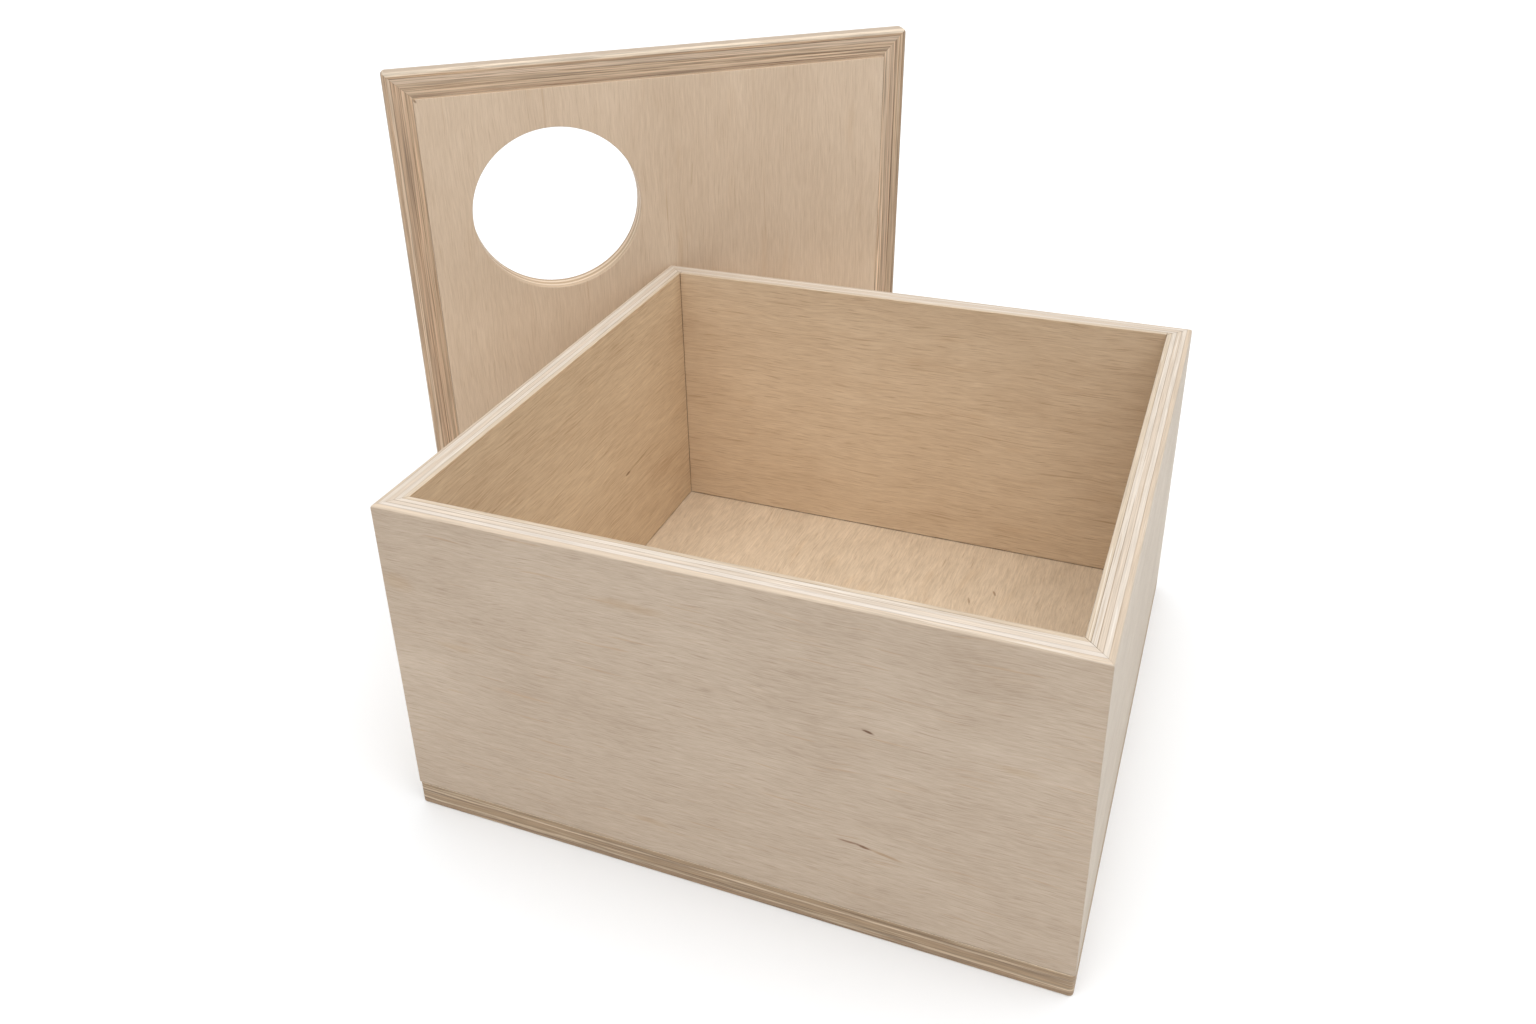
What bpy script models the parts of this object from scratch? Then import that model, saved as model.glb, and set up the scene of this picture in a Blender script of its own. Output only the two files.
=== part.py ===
"""Wooden toy box of mitred plywood, with its loose lid stood on edge behind it.

Metres, +Z up. The origin is the centre of the box's underside, on the floor. +X runs to the
right along the front, +Y to the back. The lid stands on its lower edge and leans with its
underside against the box's back left corner.
"""
import math

import bmesh
import bpy
from mathutils import Matrix, Vector

# ---- driving dimensions ------------------------------------------------------------------
BOX_WIDTH = 0.308          # outside, along the front
BOX_DEPTH = 0.300          # outside, front to back
BOX_HEIGHT = 0.166         # floor to the top edge
WALL = 0.012               # plywood of the four walls
BASE = 0.012               # plywood of the base, which lies under the walls
ARRIS = 0.0017             # radius that every outer edge is sanded to

TONGUE_THICKNESS = 0.004   # loose tongue glued across each corner mitre
TONGUE_WIDTH = 0.010       # across the joint, half in each wall
TONGUE_DEPTH_IN = 0.0075   # middle of the tongue, in from both outside faces
TONGUE_STOP = 0.020        # plain mitre left above and below each tongue

DOWEL_RADIUS = 0.003       # pegs between the walls and the base
DOWEL_IN_WALL = 0.012
DOWEL_IN_BASE = 0.006
DOWEL_FROM_CORNER = 0.060  # along each wall, from the box's outside corner
DOWEL_END_ROOM = 0.0005    # glue room at both ends of a dowel hole

LID_SHY = 0.001            # the closed lid stops this far inside the box's outside faces
LID_RIM_DEPTH = 0.009      # thickness of the lid's mitred edge strips
PLUG_RISE = 0.003          # how far the lid's panel stands out under its rim
PLUG_CLEARANCE = 0.004     # between the raised panel and the inside of the box walls
PANEL_TONGUE = 0.0035      # tongue round the panel's edge, in the groove of the strips
PANEL_TONGUE_THICKNESS = 0.003
HOLE_RADIUS = 0.0495       # round hole in the lid
HOLE_FROM_SIDE = 0.089     # its centre, in from the lid's left edge
HOLE_FROM_TOP = 0.0875     # its centre, down from the lid's upper edge

LID_TURN = math.radians(38.8)   # the standing lid's lower edge, turned from the box's front
LID_LEAN = math.radians(3.1)    # its lean towards the box, from upright
LID_OFF_MIDDLE = 0.002          # the box corner touches this far right of the lid's middle

GAP = 0.0003               # between faces that touch
OVERSIZE = 0.002           # what a blank has to spare before its form trims it
SMOOTH_SEGMENTS = 3

# ---- worked out from them ----------------------------------------------------------------
LID_WIDTH = BOX_WIDTH - 2 * LID_SHY
LID_LENGTH = BOX_DEPTH - 2 * LID_SHY
LID_STRIP = WALL - LID_SHY + PLUG_CLEARANCE     # width of the edge strips, seen from below
LID_DEPTH = LID_RIM_DEPTH + PLUG_RISE
WALL_FOOT = BASE + GAP

PLYWOOD_FACE = (0.56, 0.43, 0.30, 1.0)
PLYWOOD_EDGE = (0.68, 0.56, 0.42, 1.0)
BEECH = (0.60, 0.42, 0.27, 1.0)


def clear_scene():
    for item in list(bpy.data.objects):
        bpy.data.objects.remove(item, do_unlink=True)


def make_collection(name):
    collection = bpy.data.collections.new(name)
    bpy.context.scene.collection.children.link(collection)
    return collection


def wood(name, colour, roughness):
    material = bpy.data.materials.new(name)
    material.use_nodes = True
    shader = material.node_tree.nodes["Principled BSDF"]
    shader.inputs["Base Color"].default_value = colour
    shader.inputs["Roughness"].default_value = roughness
    shader.inputs["Metallic"].default_value = 0.0
    return material


def block(low, high):
    """A plain block between two opposite corners."""
    low, high = Vector(low), Vector(high)
    mesh = bmesh.new()
    place = Matrix.Translation((low + high) / 2) @ Matrix.Diagonal((*(high - low), 1.0))
    bmesh.ops.create_cube(mesh, size=1.0, matrix=place)
    return mesh


def slice_off(mesh, point, normal):
    """Cut away everything beyond a plane, and close the cut."""
    geometry = mesh.verts[:] + mesh.edges[:] + mesh.faces[:]
    cut = bmesh.ops.bisect_plane(mesh, geom=geometry, plane_co=point, plane_no=normal,
                                 clear_outer=True)
    edges = [item for item in cut["geom_cut"] if isinstance(item, bmesh.types.BMEdge)]
    bmesh.ops.contextual_create(mesh, geom=edges)


def add_object(name, mesh, collection, material=None, parent=None):
    data = bpy.data.meshes.new(name)
    bmesh.ops.recalc_face_normals(mesh, faces=mesh.faces[:])
    mesh.to_mesh(data)
    mesh.free()
    item = bpy.data.objects.new(name, data)
    item.parent = parent
    collection.objects.link(item)
    if material:
        data.materials.append(material)
    return item


def add_form(name, mesh, parent=None):
    """A guide shape that cuts or trims others and isn't a piece itself."""
    item = add_object(name, mesh, forms, parent=parent)
    item.hide_render = True
    item.display_type = "WIRE"
    return item


def boolean(item, form, operation):
    modifier = item.modifiers.new(form.name, "BOOLEAN")
    modifier.object = form
    modifier.operation = operation
    modifier.solver = "EXACT"


def rounded_block(low, high):
    """A block with every edge sanded to the arris radius."""
    mesh = block(low, high)
    bmesh.ops.bevel(mesh, geom=mesh.edges[:], offset=ARRIS, segments=SMOOTH_SEGMENTS,
                    profile=0.5, affect="EDGES")
    return mesh


def mitred_board(length, width, low, high):
    """A board along X with its outer face at Y = 0 and both ends cut at 45 degrees.

    It is oversize on the outer face, where the rounded form trims it.
    """
    reach = length / 2 + 2 * OVERSIZE
    mesh = block((-reach, -OVERSIZE, low), (reach, width, high))
    for side in (-1, 1):
        normal = Vector((side, 1, 0)).normalized()
        corner = Vector((side * length / 2, 0, 0))
        slice_off(mesh, corner - normal * GAP / 2, normal)
    return mesh


# ---- the box -----------------------------------------------------------------------------
def wall_places():
    """Name, length, middle of the outer face and turn of each wall."""
    half_width, half_depth = BOX_WIDTH / 2, BOX_DEPTH / 2
    return (
        ("front", BOX_WIDTH, (0, -half_depth, 0), 0),
        ("right", BOX_DEPTH, (half_width, 0, 0), math.pi / 2),
        ("back", BOX_WIDTH, (0, half_depth, 0), math.pi),
        ("left", BOX_DEPTH, (-half_width, 0, 0), -math.pi / 2),
    )


def make_walls():
    walls = {}
    for name, length, middle, turn in wall_places():
        mesh = mitred_board(length, WALL, WALL_FOOT, BOX_HEIGHT + OVERSIZE)
        wall = add_object(name + "_wall", mesh, toy_box, plywood_face)
        wall.location = middle
        wall.rotation_euler.z = turn
        boolean(wall, box_form, "INTERSECT")
        walls[name] = wall
    return walls


def make_base():
    half_width, half_depth = BOX_WIDTH / 2 + OVERSIZE, BOX_DEPTH / 2 + OVERSIZE
    mesh = block((-half_width, -half_depth, -OVERSIZE), (half_width, half_depth, BASE))
    base = add_object("base_panel", mesh, toy_box, plywood_face)
    boolean(base, box_form, "INTERSECT")
    return base


def make_corner_tongue(name, corner, walls):
    """A hidden tongue across one mitre, in a slot cut in both walls."""
    inward = Vector((-math.copysign(1, corner[0]), -math.copysign(1, corner[1]), 0))
    middle = Vector(corner) + inward * TONGUE_DEPTH_IN
    turn = math.atan2(inward.y, inward.x) + math.pi / 2
    low, high = WALL_FOOT + TONGUE_STOP, BOX_HEIGHT - TONGUE_STOP
    half = Vector((TONGUE_WIDTH / 2, TONGUE_THICKNESS / 2, (high - low) / 2))
    height = (low + high) / 2
    tongue = add_object("corner_tongue_" + name, block(-half, half), toy_box, beech)
    room = half + Vector((GAP, GAP, GAP))
    slot = add_form("slot_" + name, block(-room, room))
    for item in (tongue, slot):
        item.location = (middle.x, middle.y, height)
        item.rotation_euler.z = turn
    for wall in walls:
        boolean(wall, slot, "DIFFERENCE")


def peg(radius, low, high, segments=20):
    mesh = bmesh.new()
    bmesh.ops.create_cone(mesh, cap_ends=True, segments=segments, radius1=radius,
                          radius2=radius, depth=high - low,
                          matrix=Matrix.Translation((0, 0, (low + high) / 2)))
    return mesh


def make_dowels(walls, base):
    """Two pegs under each wall, half in the wall and half in the base."""
    low, high = BASE - DOWEL_IN_BASE, BASE + DOWEL_IN_WALL
    for name, length, middle, turn in wall_places():
        for number, side in enumerate((-1, 1), start=1):
            along = side * (length / 2 - DOWEL_FROM_CORNER)
            place = Vector(middle) + Matrix.Rotation(turn, 3, "Z") @ Vector((along, WALL / 2, 0))
            label = f"{name}_{number}"
            dowel = add_object("dowel_" + label, peg(DOWEL_RADIUS, low, high), toy_box, beech)
            dowel.data.shade_smooth()
            dowel.data.set_sharp_from_angle(angle=math.radians(40))
            hole = add_form("dowel_hole_" + label, peg(DOWEL_RADIUS + GAP, low - DOWEL_END_ROOM,
                                                       high + DOWEL_END_ROOM))
            dowel.location = hole.location = place
            boolean(walls[name], hole, "DIFFERENCE")
            boolean(base, hole, "DIFFERENCE")


# ---- the lid, in its own frame -----------------------------------------------------------
# X runs along its lower edge, Y up the lid and Z out of its underside. The outer face is at
# Z = 0, and the middle of the lower edge at the frame's origin.
def make_lid_frame():
    """The empty that stands the lid on the floor against the box's back left corner.

    That corner is sanded to a ball of the arris radius, and the lid's panel rests on it.
    """
    frame = bpy.data.objects.new("lid_frame", None)
    toy_box.objects.link(frame)
    frame.rotation_euler = (math.pi / 2 + LID_LEAN, 0, LID_TURN)
    turned = frame.rotation_euler.to_matrix()
    along, up, out = (turned.col[index] for index in range(3))
    ball = Vector((ARRIS - BOX_WIDTH / 2, BOX_DEPTH / 2 - ARRIS, BOX_HEIGHT - ARRIS))
    face = LID_DEPTH + GAP + ARRIS                 # from the outer face to the ball's centre
    lift = LID_RIM_DEPTH * math.sin(LID_LEAN)      # keeps the rim's lower edge on the floor
    touch = (ball.z - face * out.z - lift) / up.z
    frame.location = ball - LID_OFF_MIDDLE * along - touch * up - face * out
    return frame


def make_lid_strips(frame):
    """Four mitred strips round the panel, grooved for its tongue."""
    half_width = LID_WIDTH / 2
    places = (
        ("bottom", LID_WIDTH, (0, 0, 0), 0),
        ("right", LID_LENGTH, (half_width, LID_LENGTH / 2, 0), math.pi / 2),
        ("top", LID_WIDTH, (0, LID_LENGTH, 0), math.pi),
        ("left", LID_LENGTH, (-half_width, LID_LENGTH / 2, 0), -math.pi / 2),
    )
    form = add_form("lid_form", rounded_block((-half_width, 0, 0),
                                              (half_width, LID_LENGTH, LID_RIM_DEPTH)), frame)
    reach = PANEL_TONGUE + GAP
    half_groove = PANEL_TONGUE_THICKNESS / 2 + GAP
    groove = panel_form("panel_groove", reach, LID_RIM_DEPTH / 2 - half_groove,
                        LID_RIM_DEPTH / 2 + half_groove, frame)
    for name, length, middle, turn in places:
        mesh = mitred_board(length, LID_STRIP, -OVERSIZE, LID_RIM_DEPTH + OVERSIZE)
        strip = add_object("lid_strip_" + name, mesh, toy_box, plywood_edge, frame)
        strip.location = middle
        strip.rotation_euler.z = turn
        boolean(strip, form, "INTERSECT")
        boolean(strip, groove, "DIFFERENCE")


def panel_block(reach, low, high):
    """A block over the lid's panel, reaching past the strips' inner edges by reach."""
    inset = LID_STRIP - reach
    return block((inset - LID_WIDTH / 2, inset, low),
                 (LID_WIDTH / 2 - inset, LID_LENGTH - inset, high))


def panel_form(name, reach, low, high, frame):
    return add_form(name, panel_block(reach, low, high), frame)


def make_lid_panel(frame):
    """The raised panel, with a tongue round it and the round hole through it."""
    panel = add_object("lid_panel", panel_block(-GAP, 0, LID_DEPTH), toy_box, plywood_face,
                       frame)
    half_tongue = PANEL_TONGUE_THICKNESS / 2
    tongue = panel_form("panel_tongue", PANEL_TONGUE, LID_RIM_DEPTH / 2 - half_tongue,
                        LID_RIM_DEPTH / 2 + half_tongue, frame)
    hole = add_form("hand_hole", peg(HOLE_RADIUS, -OVERSIZE, LID_DEPTH + OVERSIZE, 64), frame)
    hole.location = (HOLE_FROM_SIDE - LID_WIDTH / 2, LID_LENGTH - HOLE_FROM_TOP, 0)
    boolean(panel, tongue, "UNION")
    boolean(panel, hole, "DIFFERENCE")


clear_scene()
toy_box = make_collection("wooden_toy_box")
forms = make_collection("forms")
plywood_face = wood("plywood_face", PLYWOOD_FACE, 0.6)
plywood_edge = wood("plywood_edge", PLYWOOD_EDGE, 0.65)
beech = wood("beech", BEECH, 0.6)

box_form = add_form("box_form", rounded_block((-BOX_WIDTH / 2, -BOX_DEPTH / 2, 0),
                                              (BOX_WIDTH / 2, BOX_DEPTH / 2, BOX_HEIGHT)))
box_walls = make_walls()
box_base = make_base()
make_dowels(box_walls, box_base)
for front_or_back, y_side in (("front", -1), ("back", 1)):
    for left_or_right, x_side in (("left", -1), ("right", 1)):
        make_corner_tongue(f"{front_or_back}_{left_or_right}",
                           (x_side * BOX_WIDTH / 2, y_side * BOX_DEPTH / 2, 0),
                           (box_walls[front_or_back], box_walls[left_or_right]))

lid_frame = make_lid_frame()
make_lid_strips(lid_frame)
make_lid_panel(lid_frame)
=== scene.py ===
import math
from functools import partial

import bmesh
import bpy
from mathutils import Euler, Matrix, Vector


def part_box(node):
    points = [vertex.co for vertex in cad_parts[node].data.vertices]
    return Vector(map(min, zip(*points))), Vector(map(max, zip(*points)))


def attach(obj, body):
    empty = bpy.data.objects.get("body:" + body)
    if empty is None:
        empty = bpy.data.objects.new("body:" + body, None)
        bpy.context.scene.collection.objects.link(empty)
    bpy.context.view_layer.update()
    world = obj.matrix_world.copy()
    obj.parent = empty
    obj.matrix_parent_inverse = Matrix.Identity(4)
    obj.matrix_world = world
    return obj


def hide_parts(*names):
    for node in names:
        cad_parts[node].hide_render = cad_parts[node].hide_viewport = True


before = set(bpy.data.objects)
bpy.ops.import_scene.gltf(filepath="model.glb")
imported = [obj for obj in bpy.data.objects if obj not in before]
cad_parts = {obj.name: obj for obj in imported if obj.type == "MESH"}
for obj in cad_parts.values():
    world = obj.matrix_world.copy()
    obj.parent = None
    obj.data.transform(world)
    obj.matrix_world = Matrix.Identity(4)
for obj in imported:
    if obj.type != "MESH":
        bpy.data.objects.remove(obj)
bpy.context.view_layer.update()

# ---- sizes, in metres --------------------------------------------------------------------
BASE_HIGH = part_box("base_panel")[1]
WALL_LOW, WALL_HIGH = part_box("front_wall")
BOX_HALF = Vector((BASE_HIGH.x, BASE_HIGH.y, 0))
HEIGHT = WALL_HIGH.z
BASE = BASE_HIGH.z
WALL = WALL_HIGH.y - WALL_LOW.y

ARRIS = 0.0017              # outer edges, sanded round
ARRIS_SEGMENTS = 6
BOX_CORNER = 0.0005         # the walls' upright corners are only broken
BASE_CORNER = 0.0020        # the base's are sanded rounder
BASE_FOOT = 0.0007          # its lower edge is hardly sanded
LID_CORNER = 0.0028         # the lid's four corners are the roundest
LEAST_RADIUS = 0.00008      # a corner sharper than this is drawn this round
FINE_ARRIS = 0.0004         # edges only broken with paper
FINE_SEGMENTS = 2
JOINT_ARRIS = 0.00035       # the two edges that meet where the walls stand on the base
JOINT_GAP = 0.00006         # what a glued joint leaves between two boards
FOOT_GAP = 0.00018          # the line under the walls
MITRE_OPENS = math.radians(0.35)   # the box's mitres are a hair open on the inside

GLUE_GROOVE_HALF = 0.00009  # the hollow that sanding leaves at a glue line
GLUE_GROOVE_DEPTH = 0.00005

LID_TURN = math.radians(38.8)      # the standing lid, turned from the box's front
LID_LEAN = math.radians(3.1)       # and leant towards the box
LID_STRIP = 0.015           # width of the strips round the lid's panel
LID_SHY = 0.00003           # how far the lid stays inside its CAD box
PANEL_TONGUE = 0.0035       # how far the panel's tongue reaches into the strips
PANEL_TONGUE_HALF = 0.0015  # half its thickness
GROOVE_ROOM = 0.0003        # room round it in the groove
HOLE_RADIUS = 0.0495
HOLE_FROM_SIDE = 0.089      # its middle, from the lid's left edge
HOLE_FROM_TOP = 0.0875      # and from its upper one
HOLE_ARRIS = 0.0007
HOLE_SIDES = 144
EASE_SEGMENTS = 4           # round the panel's edge and the hole's

PLIES = 5
BASE_LINES = (0.0029, 0.0043, 0.0081, 0.0095)   # the base sheet has two thin plies
HIDDEN_ROOM = 1.07          # slots and holes over the hidden pieces in them, across
HIDDEN_END_ROOM = 0.001     # and how much longer they are

SHARP_ANGLE = math.radians(24)       # edges that turn more than this are shaded sharp
WELD = 1e-5                 # points of a CAD mesh nearer than this are joined
TOUCH = 1e-6                # points nearer than this to a plane are on it
UP, DOWN = Vector((0, 0, 1)), Vector((0, 0, -1))


def linear(text):
    """A linear RGBA colour from an sRGB hex value."""
    channels = [int(text[place:place + 2], 16) / 255 for place in (1, 3, 5)]
    return (*(c / 12.92 if c <= 0.04045 else ((c + 0.055) / 1.055) ** 2.4
              for c in channels), 1.0)


def node(tree, kind, settings=None, stops=(), **links):
    """Adds one node. Links are input names, with _ for a space, or in_3 for the input 3.

    Each takes a value, a socket, or a node, whose first open output is then meant. The
    stops are the places and colours of a colour ramp.
    """
    made = tree.nodes.new(kind)
    for name, value in (settings or {}).items():
        setattr(made, name, value)
    for name, value in links.items():
        key = int(name[3:]) if name.startswith("in_") else name.replace("_", " ")
        if isinstance(value, bpy.types.Node):
            value = next(output for output in value.outputs if output.enabled)
        if isinstance(value, bpy.types.NodeSocket):
            tree.links.new(value, made.inputs[key])
        else:
            made.inputs[key].default_value = value
    for number, (place, colour) in enumerate(stops):
        elements = made.color_ramp.elements
        element = elements[number] if number < 2 else elements.new(place)
        element.position, element.color = place, colour
    return made


# ---- plywood -----------------------------------------------------------------------------
def board_frame(origin, along, depth):
    """A board's own axes: X along the grain, Y across the face, Z inwards from its face."""
    along, depth = Vector(along), Vector(depth)
    across = depth.cross(along)
    turn = Matrix((along, across, depth)).transposed().to_4x4()
    return Matrix.Translation(origin) @ turn


def evenly(thickness, count=PLIES):
    """Depths of the glue lines of a sheet with plies of one thickness."""
    return [thickness * number / count for number in range(1, count)]


MATH, MAP, MIX = "ShaderNodeMath", "ShaderNodeMapRange", "ShaderNodeMix"
ADD, TIMES, OVER, TIMES_PLUS, LEAST, MOST = (
    {"operation": word}
    for word in ("ADD", "MULTIPLY", "DIVIDE", "MULTIPLY_ADD", "MINIMUM", "MAXIMUM"))
SOFT = {"interpolation_type": "SMOOTHSTEP"}
BLEND = {"data_type": "RGBA"}
DARKEN = {"data_type": "RGBA", "blend_type": "MULTIPLY"}
FROM_BOARD = {"vector_type": "TEXTURE"}

WOOD_IOR = 1.5
DRIFT_SCALE = (16, 26, 26)         # how the grain bends, in repeats a metre
VENEER = (0.0001, 0.0004)          # depths between which the face gives way to the plies
PLY_SOFT = 0.0002                  # half of what one ply's colour runs into the next
NOISE_SPREAD = {"in_1": 0.3, "in_2": 0.7}      # where most of a noise's values lie
GRAIN_RELIEF = 0.00012             # height of the raised grain
MARK_RAGGED = 0.9                  # how far fibres break a mark's outline
MARK_FADE = {"in_1": 0.75, "in_2": 1.45}       # a mark fades out between these reaches


def empty_material(name):
    """A material with no nodes yet, and what adds a node to it."""
    material = bpy.data.materials.new(name)
    material.use_nodes = True
    material.node_tree.nodes.clear()
    return material, partial(node, material.node_tree)


# Rotary-cut light hardwood veneer, sanded and left bare. The peeled sheet gives the face
# fine short fibre streaks, soft clouds and a few yellowish smudges, all low in contrast.
# Its edges show the plies: bands of long and cross grain with thin brown glue lines.
def plywood(name, board, thickness, glue_lines, look, seed, marks_and_shade=()):
    """A solid plywood for one board: veneer on its two faces, plies in between."""
    material, add = empty_material(name)

    def pattern(place, scale, detail=2.0, roughness=0.55):
        """Noise laid along the board: scale is in repeats a metre along, across and in."""
        laid = add("ShaderNodeMapping", Vector=place, Scale=scale,
                   Location=(seed * 3.7, seed * 1.3, seed * 7.1))
        return add("ShaderNodeTexNoise", Vector=laid, Scale=1.0, Detail=detail,
                   Roughness=roughness)

    local = add("ShaderNodeMapping", FROM_BOARD, Location=board.to_translation(),
                Rotation=board.to_euler(), Vector=add("ShaderNodeTexCoord").outputs["Object"])
    drift = add(MATH, TIMES_PLUS, in_0=pattern(local, DRIFT_SCALE), in_1=look["drift"],
                in_2=-look["drift"] / 2)
    wavy = add("ShaderNodeVectorMath", ADD, in_0=local,
               in_1=add("ShaderNodeCombineXYZ", Y=drift))
    depth = add("ShaderNodeSeparateXYZ", Vector=local).outputs["Z"]

    # The veneer: tones swing between its dark and light, then come the stains over it.
    tone = 0.5 - sum(share for *_, share in look["tones"]) / 2
    patterns = []
    for place, scale, detail, share in look["tones"]:
        patterns.append(pattern(wavy if place == "wavy" else local, scale, detail, 0.6))
        tone = add(MATH, TIMES_PLUS, in_0=patterns[-1], in_1=share, in_2=tone)
    fibres, streaks = patterns[:2]
    face = add(MIX, BLEND, in_0=tone, in_6=linear(look["dark"]), in_7=linear(look["light"]))
    for scale, low, high, colour, share in look["stains"]:
        amount = add(MAP, SOFT, in_0=pattern(wavy, scale), in_1=low, in_2=high, in_4=share)
        face = add(MIX, BLEND, in_0=amount, in_6=face, in_7=linear(colour))

    # The plies wander by part of a millimetre, as peeled veneers do.
    waver = add(MATH, TIMES_PLUS, in_0=pattern(local, look["wander"]),
                in_1=look["ply_waver"], in_2=-look["ply_waver"] / 2)
    sunk = add(MATH, OVER, in_0=add(MATH, ADD, in_0=depth, in_1=waver), in_1=thickness)
    bounds = [0.0, *glue_lines, thickness]
    half = look["glue_half"]
    black = (0, 0, 0, 1)
    bands, lines = [], [(0.0, black)]
    for above, below, colour in zip(bounds, bounds[1:], look["plies"]):
        bands += [((above + PLY_SOFT) / thickness, linear(colour)),
                  ((below - PLY_SOFT) / thickness, linear(colour))]
    for line, strength in zip(glue_lines, look["glue_shares"]):
        lines += [((line - half) / thickness, black),
                  (line / thickness, (strength, strength, strength, 1)),
                  ((line + half) / thickness, black)]
    edge = add("ShaderNodeValToRGB", stops=bands, Fac=sunk)

    # Glue lines come and go along the edge. Rays and stains lie over the whole of it.
    worn = add(MAP, SOFT, in_0=pattern(local, look["glue_runs"]), in_1=0.35, in_2=0.65,
               in_3=look["glue_least"], in_4=1.0)
    glue = add(MATH, TIMES, in_0=add("ShaderNodeValToRGB", stops=lines, Fac=sunk),
               in_1=worn)
    edge = add(MIX, BLEND, in_0=glue, in_6=edge, in_7=linear(look["glue"]))
    rays = add(MAP, **NOISE_SPREAD, in_0=pattern(local, look["edge_rays"], 3, 0.65),
               in_3=1 - look["ray_share"], in_4=1 + look["ray_share"])
    edge = add(MIX, DARKEN, in_0=1.0, in_6=edge,
               in_7=add("ShaderNodeCombineXYZ", X=rays, Y=rays, Z=rays))
    for scale, low, high, colour, share in look["edge_stains"]:
        amount = add(MAP, SOFT, in_0=pattern(local, scale), in_1=low, in_2=high, in_4=share)
        edge = add(MIX, BLEND, in_0=amount, in_6=edge, in_7=linear(colour))

    # The veneer shows on the two faces of the board, and the plies between them.
    outer = add(MAP, SOFT, in_0=depth, in_1=VENEER[0], in_2=VENEER[1])
    inner = add(MAP, SOFT, in_0=depth, in_1=thickness - VENEER[0],
                in_2=thickness - VENEER[1])
    surface = add(MIX, BLEND, in_0=add(MATH, LEAST, in_0=outer, in_1=inner), in_6=face,
                  in_7=edge)

    # Marks, and the lines of painted shade in the joints, are ovals with an outline that the
    # fibres break.
    for middle, reach, turn, colour, strength in marks_and_shade:
        spot = add("ShaderNodeMapping", FROM_BOARD, Vector=local, Location=middle,
                   Rotation=(0, 0, turn), Scale=reach)
        away = add("ShaderNodeVectorMath", {"operation": "LENGTH"}, in_0=spot)
        ragged = add(MATH, TIMES_PLUS, in_0=fibres, in_1=MARK_RAGGED, in_2=away)
        amount = add(MAP, SOFT, **MARK_FADE, in_0=ragged, in_3=strength, in_4=0.0)
        surface = add(MIX, BLEND, in_0=amount, in_6=surface, in_7=linear(colour))

    relief = add(MATH, TIMES_PLUS, in_0=streaks, in_1=0.7, in_2=fibres)
    bump = add("ShaderNodeBump", Strength=look["relief"], Distance=GRAIN_RELIEF,
               Height=relief)
    rough = add(MAP, **NOISE_SPREAD, in_0=fibres, in_3=look["roughness"] - 0.04,
                in_4=look["roughness"] + 0.05)
    shader = add("ShaderNodeBsdfPrincipled", Base_Color=surface, Roughness=rough,
                 IOR=WOOD_IOR, Normal=bump)
    add("ShaderNodeOutputMaterial", Surface=shader)
    return material


# Fibres are about 0.1 mm wide; the finest are drawn 0.5 mm wide, which is as fine as shows.
# Each tone is (where, repeats a metre, detail, share), each stain is (repeats a metre, from,
# to, colour, share). Plies and glue shares run from the board's outer face inwards.
#
# The front: greyish tan, painted darker and greyer than the inside faces as painted shade and
# cool light on an outer face turned from the overhead light, with short fibres and a few
# yellow smudges.
FRONT_LOOK = {
    "dark": "#A38E78", "light": "#C9B7A3", "drift": 0.006,
    "tones": (("wavy", (130, 2000, 500), 3, 1.25), ("wavy", (26, 520, 90), 3, 0.50),
              ("wavy", (14, 90, 20), 2, 0.30), ("local", (15, 24, 15), 3, 0.65)),
    "stains": (((24, 150, 90), 0.60, 0.80, "#B3977A", 0.20),
               ((75, 1500, 300), 0.58, 0.72, "#8F775F", 0.40),
               ((26, 620, 90), 0.63, 0.74, "#AC8A66", 0.40)),
    "plies": ("#CFBDA8", "#D7CCC0", "#D5C6B5", "#D6CABC", "#C9B7A0"),
    "glue": "#82684B", "glue_half": 0.00022, "glue_shares": (0.95, 0.80, 0.85, 1.00),
    "glue_runs": (9, 9, 260), "glue_least": 0.35, "wander": (28, 28, 150),
    "ply_waver": 0.0004, "edge_rays": (34, 34, 1900), "ray_share": 0.16,
    "edge_stains": (((22, 22, 1300), 0.60, 0.70, "#A88E70", 0.40),
                    ((22, 22, 900), 0.60, 0.72, "#EFE8DE", 0.45)),
    "relief": 0.45, "roughness": 0.56,
}

# The right wall is painted a shade paler and greyer, as painted light and sheen on the face
# that the right lamps strike, and its plies a shade darker, as on the other two.
OTHER_PLIES = ("#C8B6A1", "#D2C6B8", "#CDBDAB", "#D2C6B8", "#CAB9A3")
RIGHT_LOOK = {**FRONT_LOOK, "dark": "#A69683", "light": "#CDC1B1", "plies": OTHER_PLIES}

# The back and left walls are seen from the inside: the veneer painted warmer and lighter, as
# painted warm bounce light inside the box, with longer dashes.
INSIDE_TONES = (("wavy", (100, 1900, 500), 3, 1.15), ("wavy", (26, 480, 90), 3, 0.50),
                ("wavy", (12, 80, 20), 2, 0.30), ("local", (15, 22, 15), 2, 0.50))
INSIDE_STAINS = (((24, 150, 90), 0.60, 0.80, "#C9A57C", 0.20),
                 ((55, 1500, 300), 0.56, 0.72, "#A07A56", 0.45),
                 ((18, 620, 90), 0.62, 0.76, "#A67F59", 0.40))
BACK_LOOK = {**FRONT_LOOK, "dark": "#C7AC8D", "light": "#EED9BC", "plies": OTHER_PLIES,
             "tones": INSIDE_TONES, "stains": INSIDE_STAINS}
LEFT_LOOK = {**BACK_LOOK, "dark": "#BFA383", "light": "#E5CEAD",
             "tones": (("wavy", (90, 1500, 500), 3, 1.60), *INSIDE_TONES[1:])}
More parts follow.
